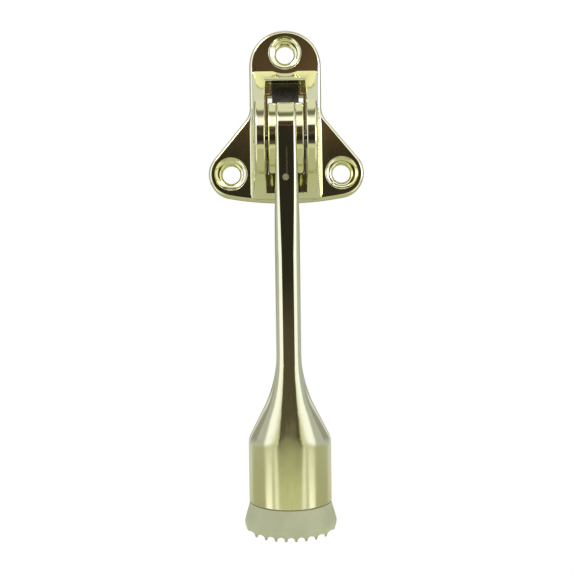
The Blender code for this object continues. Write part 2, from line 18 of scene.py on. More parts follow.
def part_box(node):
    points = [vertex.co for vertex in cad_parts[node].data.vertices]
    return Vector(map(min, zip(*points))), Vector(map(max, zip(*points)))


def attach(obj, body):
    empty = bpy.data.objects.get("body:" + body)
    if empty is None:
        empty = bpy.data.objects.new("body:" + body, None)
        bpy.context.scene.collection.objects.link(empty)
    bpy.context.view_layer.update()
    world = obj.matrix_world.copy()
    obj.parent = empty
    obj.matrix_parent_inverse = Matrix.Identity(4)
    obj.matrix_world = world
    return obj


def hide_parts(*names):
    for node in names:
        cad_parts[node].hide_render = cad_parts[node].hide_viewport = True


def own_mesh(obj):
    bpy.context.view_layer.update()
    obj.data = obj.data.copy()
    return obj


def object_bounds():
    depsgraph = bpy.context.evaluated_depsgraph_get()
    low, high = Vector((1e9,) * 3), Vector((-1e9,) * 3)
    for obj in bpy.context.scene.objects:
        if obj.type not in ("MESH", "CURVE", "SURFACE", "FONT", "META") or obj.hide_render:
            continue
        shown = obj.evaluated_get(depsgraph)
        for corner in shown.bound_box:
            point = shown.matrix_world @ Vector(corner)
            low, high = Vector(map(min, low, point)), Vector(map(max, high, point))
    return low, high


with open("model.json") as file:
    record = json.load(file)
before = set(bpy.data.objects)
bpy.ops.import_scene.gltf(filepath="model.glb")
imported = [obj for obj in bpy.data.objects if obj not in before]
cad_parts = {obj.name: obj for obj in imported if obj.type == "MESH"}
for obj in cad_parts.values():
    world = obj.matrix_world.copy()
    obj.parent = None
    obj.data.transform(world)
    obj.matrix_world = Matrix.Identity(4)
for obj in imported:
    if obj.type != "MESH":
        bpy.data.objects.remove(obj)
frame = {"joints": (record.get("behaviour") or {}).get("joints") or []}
cad_low, cad_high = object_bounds()

MM = 0.001
GAP = 0.3 * MM

base_low, base_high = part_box("mounting_base")
leaf_low, leaf_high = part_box("detent_spring")
pin_low, pin_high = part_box("pivot_pin")
PIVOT = Vector(frame["joints"][0]["pos_m"])
PIVOT_Z = PIVOT.z
PIVOT_PROJECTION = -PIVOT.y

# Screw plate
PLATE_TOP_Z = base_high.z
PLATE_BOTTOM_Z = base_low.z
PLATE_HALF_WIDTH = base_high.x
PLATE_THICKNESS = 3.5 * MM
PLATE_EDGE_RADIUS = 1.0 * MM
PLATE_BACK_EDGE = 0.25 * MM
NECK_RADIUS = 9.45 * MM
NECK_FILLET_RADIUS = 5.5 * MM
LOBE_RADIUS = 6.35 * MM
LOBE_Z = -24.75 * MM
SHOULDER_ANGLE = radians(50.2)

# Countersunk holes
HOLE_RADIUS = 2.38 * MM
COUNTERSINK_RADIUS = 4.15 * MM
COUNTERSINK_HALF_ANGLE = radians(41)
TOP_HOLE_Z = 7.0 * MM
LOWER_HOLE_X = 14.6 * MM
LOWER_HOLE_Z = -24.7 * MM
HEAD_RELIEF_RADIUS = 5.8 * MM

# Clevis
CROWN_FRONT = -base_low.y
CROWN_RADIUS = 10.9 * MM
CROWN_DROP = 0.35 * MM
ROOF_FOOT_Z = 2.2 * MM
SILL_Z = -31.7 * MM
SILL_PROJECTION = 8.5 * MM
CLEVIS_BASE_HALF_WIDTH = 8.8 * MM
CLEVIS_CROWN_HALF_WIDTH = 7.6 * MM
SLOT_HALF_WIDTH = 5.05 * MM
SLOT_TOP_Z = leaf_high.z + GAP
SLOT_BOTTOM_Z = leaf_low.z - GAP
WINDOW_HALF_WIDTH = 4.75 * MM
WINDOW_TOP_Z = -4.3 * MM
WINDOW_BOTTOM_Z = -24.9 * MM
ROOT_FILLET = 1.0 * MM
# Height of each station of the root fillet and its share of the full radius
FILLET_STATIONS = ((SILL_Z + 0.6 * MM, 0.5), (SILL_Z + 1.6 * MM, 1.0), (-13.0 * MM, 1.0),
                   (-11.0 * MM, 0.8), (-9.5 * MM, 0.45), (-7.5 * MM, 0.12))
EAR_OUTER_EDGE = 0.85 * MM
SLOT_EDGE = 0.65 * MM
LIP_PROJECTION = 7.9 * MM
LIP_SLOPE_RISE = 1.2 * MM
LIP_SLOPE_DROP = 0.36 * MM
BOSS_HEIGHT = 0.6 * MM
BOSS_BOTTOM_Z = -3.9 * MM
BOSS_EDGE = 0.25 * MM

# Pin and leaf
PIN_RADIUS = (pin_high.z - pin_low.z) / 2
PIN_HALF_LENGTH = pin_high.x
PIN_SWAGE = 0.22 * MM
PIN_DOME = 0.35 * MM
LEAF_HALF_WIDTH = leaf_high.x
LEAF_THICKNESS = 0.8 * MM
LEAF_END_LENGTH = 2.6 * MM
LEAF_LUG = 0.1 * MM
LEAF_LUG_REACH = 1.1 * MM
LEAF_EDGE = 0.15 * MM

# Arm
HUB_RADIUS = 8.8 * MM
HUB_HALF_WIDTH = 4.4 * MM
HUB_EDGE = 0.5 * MM
HUB_UPPER_ARCS = ((radians(11.5), 7.0 * MM), (radians(22.0), 16.5 * MM))
HUB_LOWER_ARCS = ((radians(12.3), 13.0 * MM),)
ARM_FRONT = 10.4 * MM
RIB_HALF_WIDTH = 2.55 * MM
RIB_TOP = 8.8 * MM
RIB_BACK = 8.6 * MM
RIB_CORNER_START = 2.0 * MM
RIB_CORNER_RADIUS = 5.3 * MM
RIB_CORNER_TURN = radians(30)
SHANK_HALF_WIDTH = 3.05 * MM
SHANK_BACK = 1.4 * MM
SHANK_FULL_AT = 24 * MM
CORNER_AT_HUB = 1.0 * MM
CORNER_AT_BELL = 2.35 * MM
CORNER_FULL_AT = 30 * MM
FLARE_TOP = 52.5 * MM
FLARE_ANGLE = radians(26.0)
FLARE_TANGENT = 7.5 * MM
SHOULDER_RADIUS = 4.0 * MM
SOCKET_RADIUS = 10.4 * MM
SOCKET_END = 90.9 * MM
SOCKET_LIP = 0.3 * MM
SOCKET_BORE_RADIUS = 8.0 * MM
SOCKET_BORE_DEPTH = 11.5 * MM
MARK_X = -0.2 * MM
MARK_AT = 10.0 * MM
MARK_RADIUS = 0.85 * MM
MARK_DEPTH = 0.06 * MM
WITNESS_X = 0.1 * MM
WITNESS_TOP = 3.2 * MM
WITNESS_FADE = 1.5 * MM
WITNESS_WIDTH = 0.3 * MM

# Rubber foot
NECK_GAP = 0.08 * MM
FOOT_EDGE = 0.2 * MM
FOOT_NECK_RADIUS = 10.35 * MM
FOOT_RADIUS = 11.65 * MM
FOOT_WIDEST = 96.0 * MM
FOOT_END = 98.5 * MM
TREAD_EDGE_RADIUS = 10.9 * MM
TREAD_PITCH = 2.45 * MM
TREAD_DEPTH = 1.2 * MM
TREAD_LAND = 0.65 * MM
TREAD_GROOVES = 9
# Reach of the painted shade that darkens the end of the tread
TREAD_SHADE_REACH = 1.5 * MM

REST_TILT = (asin((PIVOT_PROJECTION - GAP) / hypot(FOOT_WIDEST, FOOT_RADIUS))
             - atan2(FOOT_RADIUS, FOOT_WIDEST))
ARM_FRAME = Matrix.Translation(PIVOT) @ Matrix.Rotation(REST_TILT, 4, "X")


# Mesh helpers

def arc(centre, radius, start, end, segments):
    """Points of an arc, angles in radians, both ends included."""
    steps = [start + (end - start) * i / segments for i in range(segments + 1)]
    return [(centre[0] + radius * cos(a), centre[1] + radius * sin(a)) for a in steps]


def mesh_object(name, bm):
    bmesh.ops.recalc_face_normals(bm, faces=bm.faces[:])
    mesh = bpy.data.meshes.new(name)
    bm.to_mesh(mesh)
    bm.free()
    item = bpy.data.objects.new(name, mesh)
    bpy.context.scene.collection.objects.link(item)
    return item


def prism(outline, depth, placement=Matrix()):
    """Closed outline in the local XY plane, extruded half the depth either way along Z."""
    bm = bmesh.new()
    verts = [bm.verts.new((u, v, -depth / 2)) for u, v in outline]
    face = bm.faces.new(verts)
    top = bmesh.ops.extrude_face_region(bm, geom=[face])["geom"]
    moved = [part for part in top if isinstance(part, bmesh.types.BMVert)]
    bmesh.ops.translate(bm, vec=(0, 0, depth), verts=moved)
    bmesh.ops.transform(bm, matrix=placement, verts=bm.verts[:])
    return bm


# Stands an outline of (up, forward) points in the side view
ON_SIDE = Matrix(((0, 0, 1, 0), (0, -1, 0, 0), (1, 0, 0, 0), (0, 0, 0, 1)))


def box(name, low, high):
    bm = bmesh.new()
    bmesh.ops.create_cube(bm, size=1.0)
    low, high = Vector(low), Vector(high)
    place = Matrix.Translation((low + high) / 2) @ Matrix.Diagonal((*(high - low), 1.0))
    bmesh.ops.transform(bm, matrix=place, verts=bm.verts[:])
    return mesh_object(name, bm)


# Turns local Z to lie along the named axis
AXIS_TURN = {"X": Matrix.Rotation(pi / 2, 4, "Y"), "Y": Matrix.Rotation(pi / 2, 4, "X"),
             "Z": Matrix()}


def lathe(name, profile, segments=128, turn=Matrix(), centre=(0, 0, 0)):
    """Closed solid turned from (radius, height) pairs about local Z."""
    bm = bmesh.new()
    rings = []
    for radius, height in profile:
        if radius < 1e-7:
            rings.append([bm.verts.new((0, 0, height))])
            continue
        angles = [2 * pi * i / segments for i in range(segments)]
        rings.append([bm.verts.new((radius * cos(a), radius * sin(a), height)) for a in angles])
    for first, second in zip(rings, rings[1:]):
        for i in range(segments):
            j = (i + 1) % segments
            corners = [first[i % len(first)], first[j % len(first)],
                       second[j % len(second)], second[i % len(second)]]
            unique = list(dict.fromkeys(corners))
            if len(unique) > 2:
                bm.faces.new(unique)
    bmesh.ops.transform(bm, matrix=Matrix.Translation(centre) @ turn, verts=bm.verts[:])
    return mesh_object(name, bm)


def rod(name, radius, length, axis, centre, segments=96):
    half = length / 2
    profile = [(0, half), (radius, half), (radius, -half), (0, -half)]
    return lathe(name, profile, segments, AXIS_TURN[axis], centre)


# An exact Boolean that has gone wrong is made again up to this many times in all
BOOLEAN_TRIES = 4


def in_order(mesh):
    """The same mesh with its vertices and faces in a fixed order, which the solver's is not."""
    places = [vertex.co.to_tuple(9) for vertex in mesh.vertices]
    order = sorted(range(len(places)), key=places.__getitem__)
    rank = {old: new for new, old in enumerate(order)}
    rings = []
    for face in mesh.polygons:
        ring = [rank[i] for i in face.vertices]
        start = ring.index(min(ring))
        rings.append(ring[start:] + ring[:start])
    made = bpy.data.meshes.new(mesh.name)
    made.from_pydata([places[i] for i in order], [], sorted(rings))
    bpy.data.meshes.remove(mesh)
    return made


def reaches(mesh, corners):
    """Whether the mesh goes as far as the corners do along each axis."""
    tolerance = 0.01 * MM
    for axis in range(3):
        got = [vertex.co[axis] for vertex in mesh.vertices] or [0.0]
        wanted = [corner[axis] for corner in corners]
        if min(got) > min(wanted) + tolerance or max(got) < max(wanted) - tolerance:
            return False
    return True


def combine(item, operation, others):
    """Exact Boolean with each other object in turn, applied; the others are used up.

    No Boolean here shortens the item, so a result that has lost a part is made again.
    """
    for other in others:
        step = item.modifiers.new(operation.title(), "BOOLEAN")
        step.operation = operation
        step.solver = "EXACT"
        step.object = other
    corners = [vertex.co.copy() for vertex in item.data.vertices]
    for _ in range(BOOLEAN_TRIES):
        item.update_tag()
        bpy.context.view_layer.update()
        evaluated = item.evaluated_get(bpy.context.evaluated_depsgraph_get())
        mesh = in_order(bpy.data.meshes.new_from_object(evaluated))
        if reaches(mesh, corners):
            break
    item.modifiers.clear()
    item.data = mesh
    for other in others:
        bpy.data.objects.remove(other, do_unlink=True)


def bevel(bm, edges, radius, segments, clamp=False):
    bmesh.ops.bevel(bm, geom=edges, offset=radius, offset_type="OFFSET", segments=segments,
                    profile=0.5, affect="EDGES", clamp_overlap=clamp)


def round_edges(item, radius, segments, chosen):
    """Rounds the sharp edges that chosen(edge) accepts."""
    bm = bmesh.new()
    bm.from_mesh(item.data)
    bmesh.ops.remove_doubles(bm, verts=bm.verts[:], dist=0.002 * MM)
    bmesh.ops.dissolve_limit(bm, angle_limit=radians(0.3), verts=bm.verts[:], edges=bm.edges[:],
                             use_dissolve_boundaries=False)
    sharp = [e for e in bm.edges
             if e.is_manifold and e.calc_face_angle(0.0) > radians(20) and chosen(e)]
    bevel(bm, sharp, radius, segments, clamp=True)
    bm.to_mesh(item.data)
    bm.free()


def finish_surface(item, material, sharp_angle=50):
    """Smooth shading with flat faces kept flat."""
    item.data.shade_smooth()
    item.data.set_sharp_from_angle(angle=radians(sharp_angle))
    weighted = item.modifiers.new("Flat faces stay flat", "WEIGHTED_NORMAL")
    weighted.mode = "FACE_AREA_WITH_ANGLE"
    weighted.weight = 50
    weighted.keep_sharp = True
    item.data.materials.clear()
    item.data.materials.append(material)


# Materials

def node(tree, kind, inputs=None, **settings):
    made = tree.nodes.new(kind)
    for key, value in settings.items():
        setattr(made, key, value)
    for key, value in (inputs or {}).items():
        if isinstance(value, bpy.types.NodeSocket):
            tree.links.new(value, made.inputs[key])
        else:
            made.inputs[key].default_value = value
    return made


def new_material(name):
    material = bpy.data.materials.new(name)
    material.use_nodes = True
    tree = material.node_tree
    return material, tree, tree.nodes["Principled BSDF"]


def noise(tree, coordinates, scale, detail=3.0, roughness=0.5):
    made = node(tree, "ShaderNodeTexNoise",
                {"Vector": coordinates, "Scale": scale, "Detail": detail, "Roughness": roughness})
    return made.outputs["Fac"]


def stretched(tree, coordinates, scale):
    made = node(tree, "ShaderNodeMapping", {"Vector": coordinates, "Scale": scale})
    return made.outputs["Vector"]


def remap(tree, value, low, high, new_low, new_high, smooth=False):
    made = node(tree, "ShaderNodeMapRange", {"Value": value, "From Min": low, "From Max": high,
                                             "To Min": new_low, "To Max": new_high})
    if smooth:
        made.interpolation_type = "SMOOTHSTEP"
    return made.outputs["Result"]


def maths(tree, operation, first, second=0.0):
    return node(tree, "ShaderNodeMath", {0: first, 1: second}, operation=operation).outputs[0]


def mix_colour(tree, share, first, second):
    made = node(tree, "ShaderNodeMix", data_type="RGBA")
    for index, value in ((0, share), (6, first), (7, second)):
        if isinstance(value, bpy.types.NodeSocket):
            tree.links.new(value, made.inputs[index])
        else:
            made.inputs[index].default_value = value
    return made.outputs[2]


def bump(tree, height, strength, distance, normal=None):
    made = node(tree, "ShaderNodeBump",
                {"Height": height, "Strength": strength, "Distance": distance})
    if normal:
        tree.links.new(normal, made.inputs["Normal"])
    return made.outputs["Normal"]


def frosted_marks(tree, place):
    """1 on the round ejector mark and half as strong on the witness line above it."""
    x, _, z = node(tree, "ShaderNodeSeparateXYZ", {"Vector": place}).outputs
    centre = ARM_FRAME @ Vector((MARK_X, -ARM_FRONT, -MARK_AT))
    dx = maths(tree, "SUBTRACT", x, centre.x)
    dz = maths(tree, "SUBTRACT", z, centre.z)
    away = maths(tree, "SQRT", maths(tree, "ADD", maths(tree, "MULTIPLY", dx, dx),
                                     maths(tree, "MULTIPLY", dz, dz)))
    disc = remap(tree, away, MARK_RADIUS * 1.05, MARK_RADIUS * 0.85, 0.0, 1.0, smooth=True)
    off_line = maths(tree, "ABSOLUTE", maths(tree, "SUBTRACT", x, WITNESS_X))
    line = remap(tree, off_line, WITNESS_WIDTH, WITNESS_WIDTH * 0.3, 0.0, 0.55, smooth=True)
    top = PIVOT_Z - WITNESS_TOP
    line = maths(tree, "MULTIPLY", line, band(tree, z, centre.z, top, WITNESS_FADE))
    return maths(tree, "MAXIMUM", disc, line)


# The socket's plating is a little satin below this height
SATIN_TOP_Z = PIVOT_Z - 75.5 * MM
SATIN_FADE = 3 * MM


def plated_brass(name, satin_below=None):
    """Bright brass plate over a die casting: slight waves, fine polish lines, faint tarnish.

    Below the height satin_below it is a little rougher.
    """
    material, tree, shader = new_material(name)
    place = node(tree, "ShaderNodeTexCoord").outputs["Object"]
    waves = noise(tree, place, 130.0, 2.0)
    lines = noise(tree, stretched(tree, place, (2600.0, 2600.0, 180.0)), 1.0, 4.0, 0.6)
    stains = noise(tree, place, 420.0, 5.0, 0.65)
    stain_share = remap(tree, stains, 0.52, 0.75, 0.0, 0.35, smooth=True)
    colour = mix_colour(tree, stain_share, (0.86, 0.85, 0.49, 1.0), (0.74, 0.71, 0.38, 1.0))
    tree.links.new(colour, shader.inputs["Base Color"])
    rough = remap(tree, lines, 0.3, 0.8, 0.05, 0.12)
    if satin_below is not None:
        height = node(tree, "ShaderNodeSeparateXYZ", {"Vector": place}).outputs["Z"]
        satin = remap(tree, height, satin_below + SATIN_FADE, satin_below - SATIN_FADE,
                      0.0, 0.08, smooth=True)
        frost = maths(tree, "MULTIPLY", frosted_marks(tree, place), 0.32)
        rough = maths(tree, "ADD", rough, maths(tree, "ADD", satin, frost))
    tree.links.new(rough, shader.inputs["Roughness"])
    normal = bump(tree, waves, 0.35, 0.05 * MM)
    normal = bump(tree, lines, 0.15, 0.01 * MM, normal)
    tree.links.new(normal, shader.inputs["Normal"])
    shader.inputs["Metallic"].default_value = 1.0
    return material


def drawn_steel(name, colour, dark, rough_low, rough_high):
    """Steel with a fine drawn grain and darker spots."""
    material, tree, shader = new_material(name)
    place = node(tree, "ShaderNodeTexCoord").outputs["Object"]
    grain = noise(tree, stretched(tree, place, (300.0, 300.0, 4000.0)), 1.0, 4.0, 0.6)
    spots = noise(tree, place, 700.0, 4.0, 0.6)
    share = remap(tree, spots, 0.4, 0.7, 0.0, 1.0, smooth=True)
    shade = mix_colour(tree, share, (*colour, 1.0), (*dark, 1.0))
    rough = remap(tree, grain, 0.3, 0.7, rough_low, rough_high)
    tree.links.new(shade, shader.inputs["Base Color"])
    tree.links.new(rough, shader.inputs["Roughness"])
    tree.links.new(bump(tree, grain, 0.3, 0.02 * MM), shader.inputs["Normal"])
    shader.inputs["Metallic"].default_value = 1.0
    return material


def pale_rubber(name):
    """Soft pale rubber: cloudy, a little translucent, with a fine moulded grain, and painted
    shade darkening it towards the tread's end.
    """
    material, tree, shader = new_material(name)
    place = node(tree, "ShaderNodeTexCoord").outputs["Object"]
    cloud = noise(tree, place, 180.0, 4.0, 0.6)
    dust = noise(tree, place, 2600.0, 3.0, 0.6)
    colour = mix_colour(tree, remap(tree, cloud, 0.35, 0.7, 0.0, 1.0, smooth=True),
                        (0.47, 0.49, 0.275, 1.0), (0.42, 0.44, 0.25, 1.0))
    axis = ARM_FRAME.to_3x3() @ Vector((0, 0, -1))
    along = node(tree, "ShaderNodeVectorMath", {0: place, 1: axis},
                 operation="DOT_PRODUCT").outputs["Value"]
    # Painted shade: the colour darkens over the last stretch towards the tread's end, standing in
    # for the shade under the teeth
    tread = FOOT_END + PIVOT.dot(axis)
    tread_shade = remap(tree, along, tread - TREAD_SHADE_REACH, tread, 0.0, 0.55, smooth=True)
    colour = mix_colour(tree, tread_shade, colour, (0.20, 0.205, 0.14, 1.0))
    tree.links.new(colour, shader.inputs["Base Color"])
    tree.links.new(remap(tree, dust, 0.3, 0.7, 0.42, 0.6), shader.inputs["Roughness"])
    tree.links.new(bump(tree, dust, 0.35, 0.03 * MM), shader.inputs["Normal"])
    shader.inputs["Subsurface Weight"].default_value = 0.35
    shader.inputs["Subsurface Radius"].default_value = (1.0, 0.9, 0.6)
    shader.inputs["Subsurface Scale"].default_value = 1.5 * MM
    return material


# Screw plate and clevis

def plate_outline():
    """Right half by arcs from the top down, then its mirror image."""
    neck_z = PLATE_TOP_Z - NECK_RADIUS
    lobe_x = PLATE_HALF_WIDTH - LOBE_RADIUS
    normal_angle = pi / 2 - SHOULDER_ANGLE
    normal = Vector((cos(normal_angle), sin(normal_angle)))
    line = normal.dot((lobe_x, LOBE_Z)) + LOBE_RADIUS
    fillet_x = NECK_RADIUS + NECK_FILLET_RADIUS
    fillet_z = (line + NECK_FILLET_RADIUS - normal.x * fillet_x) / normal.y
    drop = LOBE_Z - PLATE_BOTTOM_Z
    bottom_radius = (lobe_x ** 2 + drop ** 2 - LOBE_RADIUS ** 2) / (2 * (drop - LOBE_RADIUS))
    bottom_z = PLATE_BOTTOM_Z + bottom_radius
    bottom_angle = atan2(LOBE_Z - bottom_z, lobe_x)
    half = arc((0.0, neck_z), NECK_RADIUS, pi / 2, 0.0, 40)
    half += arc((fillet_x, fillet_z), NECK_FILLET_RADIUS, pi, pi + normal_angle, 14)
    half += arc((lobe_x, LOBE_Z), LOBE_RADIUS, normal_angle, bottom_angle, 40)
    half += arc((0.0, bottom_z), bottom_radius, bottom_angle, -pi / 2, 16)[1:]
    return half + [(-x, z) for x, z in half[-2:0:-1]]


FACING_FRONT = Matrix.Rotation(pi / 2, 4, "X")


def screw_plate():
    place = Matrix.Translation((0, -PLATE_THICKNESS / 2, 0)) @ FACING_FRONT
    bm = prism(plate_outline(), PLATE_THICKNESS, place)
    front = [e for e in bm.edges if all(abs(v.co.y + PLATE_THICKNESS) < 1e-6 for v in e.verts)]
    bevel(bm, front, PLATE_EDGE_RADIUS, 7)
    back = [e for e in bm.edges if all(abs(v.co.y) < 1e-6 for v in e.verts)]
    bevel(bm, back, PLATE_BACK_EDGE, 3)
    return mesh_object("mounting_base_casting", bm)


def clevis_profile():
    """Side outline as (height, projection): sill, crown arc and roof."""
    centre = (PIVOT_Z - CROWN_DROP, CROWN_FRONT - CROWN_RADIUS)
    inside = PLATE_THICKNESS / 2

    def tangent_angle(height, projection, side):
        dz, dp = height - centre[0], projection - centre[1]
        return atan2(dp, dz) + side * acos(CROWN_RADIUS / hypot(dz, dp))

    roof_angle = tangent_angle(ROOF_FOOT_Z, PLATE_THICKNESS, 1)
    sill_angle = tangent_angle(SILL_Z, SILL_PROJECTION, -1) + 2 * pi
    outline = [(SILL_Z, inside), (SILL_Z, SILL_PROJECTION)]
    outline += arc(centre, CROWN_RADIUS, sill_angle, roof_angle, 56)
    slope = (ROOF_FOOT_Z - outline[-1][0]) / (outline[-1][1] - PLATE_THICKNESS)
    outline.append((ROOF_FOOT_Z + slope * inside, inside))
    return outline


def clevis_half_width(projection):
    share = (projection - PLATE_THICKNESS) / (CROWN_FRONT - PLATE_THICKNESS)
    return CLEVIS_BASE_HALF_WIDTH + share * (CLEVIS_CROWN_HALF_WIDTH - CLEVIS_BASE_HALF_WIDTH)


def clevis_block():
    """Solid of the ears, bridge and sill, narrower towards the front, its outer edges rounded."""
    bm = prism(clevis_profile(), 2 * CLEVIS_BASE_HALF_WIDTH, ON_SIDE)
    for vertex in bm.verts:
        side = 1 if vertex.co.x > 0 else -1
        vertex.co.x = side * clevis_half_width(-vertex.co.y)
    outer = [e for e in bm.edges if e.calc_face_angle(0.0) > radians(30)
             and max(-v.co.y for v in e.verts) > PLATE_THICKNESS]
    bevel(bm, outer, EAR_OUTER_EDGE, 6, clamp=True)
    return mesh_object("clevis_block", bm)


def root_fillet(side):
    """Cove where the outside of an ear meets the plate; it shrinks where the neck is narrow."""
    wall, floor = CLEVIS_BASE_HALF_WIDTH, PLATE_THICKNESS
    sunk = 0.04 * MM
    inner, back = wall - ROOT_FILLET / 2, floor - ROOT_FILLET / 2
    bm = bmesh.new()
    rings = []
    for z, share in FILLET_STATIONS:
        radius = ROOT_FILLET * share
        cove = arc((wall + radius, floor + radius), radius + sunk * share, pi, 3 * pi / 2, 8)
        ring = [(inner, back), (inner, floor + radius), *cove, (wall + radius, back)]
        rings.append([bm.verts.new((side * x, -p, z)) for x, p in ring])
    for lower, upper in zip(rings, rings[1:]):
        for i in range(len(lower)):
            j = (i + 1) % len(lower)
            bm.faces.new((lower[i], lower[j], upper[j], upper[i]))
    bm.faces.new(rings[0])
    bm.faces.new(rings[-1])
    return mesh_object("root_fillet", bm)


def screw_places():
    return [(0.0, TOP_HOLE_Z), (-LOWER_HOLE_X, LOWER_HOLE_Z), (LOWER_HOLE_X, LOWER_HOLE_Z)]


def screw_hole_cutter(x, z):
    """Countersink with a rounded mouth, a faint step on the cone and an eased inner edge."""
    clear = 2 * MM
    mouth = 0.26 * MM
    ease = 0.22 * MM
    step = 0.05 * MM
    step_outward = 0.1 * MM
    slope = 1 / tan(COUNTERSINK_HALF_ANGLE)
    outer = COUNTERSINK_RADIUS
    middle = (outer + HOLE_RADIUS) / 2 + step_outward
    profile = [(0.0, clear), (outer + mouth, clear), (outer + mouth, 0.0)]
    profile += [(outer + mouth * (1 - sin(t)), -mouth * (1 - cos(t)))
                for t in (radians(20), radians(40))]
    start_radius, start_height = profile[-1]
    height = start_height - (start_radius - middle) * slope
    profile += [(middle, height), (middle - step, height)]
    end = HOLE_RADIUS + ease
    height -= (middle - step - end) * slope
    profile += [(end, height), (HOLE_RADIUS + ease * 0.3, height - ease * 0.55),
                (HOLE_RADIUS, height - ease * 1.3),
                (HOLE_RADIUS, -PLATE_THICKNESS - clear), (0.0, -PLATE_THICKNESS - clear)]
    return lathe("screw_hole", profile, 96, FACING_FRONT, (x, -PLATE_THICKNESS, z))


def lip_cutter():
    """Blunts the thin lip where the roof runs out over the slot."""
    clear = 0.3 * MM
    in_front = 14 * MM
    below, top = SLOT_TOP_Z - clear, SLOT_TOP_Z + LIP_SLOPE_RISE
    outline = [(below, LIP_PROJECTION + 0.1 * MM), (SLOT_TOP_Z, LIP_PROJECTION),
               (top, LIP_PROJECTION - LIP_SLOPE_DROP), (top, in_front), (below, in_front)]
    return mesh_object("lip_cutter", prism(outline, 2 * (SLOT_HALF_WIDTH + clear), ON_SIDE))


def leaf_bosses():
    """Small pads of the casting on both sides of the leaf's upper end."""
    into_wall = 0.2 * MM
    into_plate = 0.5 * MM
    inner, outer = LEAF_HALF_WIDTH + GAP, SLOT_HALF_WIDTH + into_wall
    pads = []
    for left, right in ((-outer, -inner), (inner, outer)):
        pad = box("leaf_boss", (left, -PLATE_THICKNESS - BOSS_HEIGHT, BOSS_BOTTOM_Z),
                  (right, -PLATE_THICKNESS + into_plate, SLOT_TOP_Z + into_wall))
        round_edges(pad, BOSS_EDGE, 4, lambda edge: True)
        pads.append(pad)
    return pads


def on_slot_mouth(edge):
    """Whether an edge is on the rim of the slot, and not round the pin bore or in a corner."""
    tolerance = 0.02 * MM
    floor_zone = 1 * MM
    if all((v.co - PIVOT).yz.length < 2 * PIN_RADIUS for v in edge.verts):
        return False
    for vertex in edge.verts:
        x, y, z = vertex.co
        on_side = abs(abs(x) - SLOT_HALF_WIDTH) < tolerance
        on_sill = abs(z - SLOT_BOTTOM_Z) < tolerance
        if not (on_side or on_sill) or -y < PLATE_THICKNESS + floor_zone:
            return False
        if not SLOT_BOTTOM_Z - tolerance < z < SLOT_TOP_Z + tolerance:
            return False
    middle = (edge.verts[0].co + edge.verts[1].co) / 2
    along = (edge.verts[1].co - edge.verts[0].co).normalized()
    inner_corner = abs(along.y) > 0.98 and abs(middle.z - PIVOT_Z) > CROWN_RADIUS
    return not inner_corner


def make_base(material):
    """Plate and clevis. The slot's rim is rounded last, so no Boolean works on a rounded rim."""
    base = screw_plate()
    combine(base, "DIFFERENCE", [screw_hole_cutter(x, z) for x, z in screw_places()])
    combine(base, "UNION", [clevis_block(), root_fillet(1), root_fillet(-1)])
    front = -(CROWN_FRONT + CROWN_RADIUS)
    slot = box("slot", (-SLOT_HALF_WIDTH, front, SLOT_BOTTOM_Z),
               (SLOT_HALF_WIDTH, -PLATE_THICKNESS, SLOT_TOP_Z))
    reach = 8 * MM
    relief = rod("head_relief", HEAD_RELIEF_RADIUS, reach, "Y",
                 (0, -PLATE_THICKNESS - reach / 2, TOP_HOLE_Z), 128)
    combine(base, "DIFFERENCE", [slot, relief, lip_cutter()])
    combine(base, "UNION", leaf_bosses())
    window = box("window", (-WINDOW_HALF_WIDTH, -2 * PLATE_THICKNESS, WINDOW_BOTTOM_Z),
                 (WINDOW_HALF_WIDTH, PLATE_THICKNESS, WINDOW_TOP_Z))
    bore = rod("pin_bore", PIN_RADIUS + GAP, 4 * CLEVIS_BASE_HALF_WIDTH, "X", PIVOT)
    combine(base, "DIFFERENCE", [window, bore])
    round_edges(base, SLOT_EDGE, 6, on_slot_mouth)
    finish_surface(base, material)
    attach(base, "base")
    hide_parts("mounting_base")
    return base


# Pin and leaf spring

def make_pin(material):
    """Steel pin with swaged, slightly domed ends."""
    radius, half, dome = PIN_RADIUS, PIN_HALF_LENGTH, PIN_DOME
    end = [(0.0, half), (radius * 0.45, half - dome * 0.15), (radius * 0.8, half - dome * 0.5),
           (radius, half - dome), (radius + PIN_SWAGE, half - 1.8 * dome),
           (radius + PIN_SWAGE, half - 3 * dome), (radius, half - 5 * dome)]
    profile = end + [(r, -h) for r, h in reversed(end)]
    pin = lathe("pivot_pin_swaged", profile, 72, AXIS_TURN["X"], PIVOT)
    finish_surface(pin, material, 60)
    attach(pin, "base")
    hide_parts("pivot_pin")
    return pin


def leaf_front(height):
    """Projection of the leaf's front face: flat ends on the ledges, a bow behind the hub."""
    seat = PLATE_THICKNESS + GAP + LEAF_THICKNESS
    crest = PIVOT_PROJECTION - HUB_RADIUS - GAP
    if height > PIVOT_Z:
        span = leaf_high.z - LEAF_END_LENGTH - PIVOT_Z
    else:
        span = PIVOT_Z - leaf_low.z - LEAF_END_LENGTH
    share = min(abs(height - PIVOT_Z) / span, 1.0)
    return seat + (crest - seat) * (1 + cos(pi * share)) / 2


def leaf_half_width(height):
    """Small lugs where the leaf passes the window's edges keep it from sliding sideways."""
    widen = 0.0
    for edge in (WINDOW_TOP_Z + LEAF_LUG_REACH, WINDOW_BOTTOM_Z - LEAF_LUG_REACH):
        away = abs(height - edge) / LEAF_LUG_REACH
        widen = max(widen, LEAF_LUG * (1 + cos(pi * min(away, 1.0))) / 2)
    return LEAF_HALF_WIDTH + widen


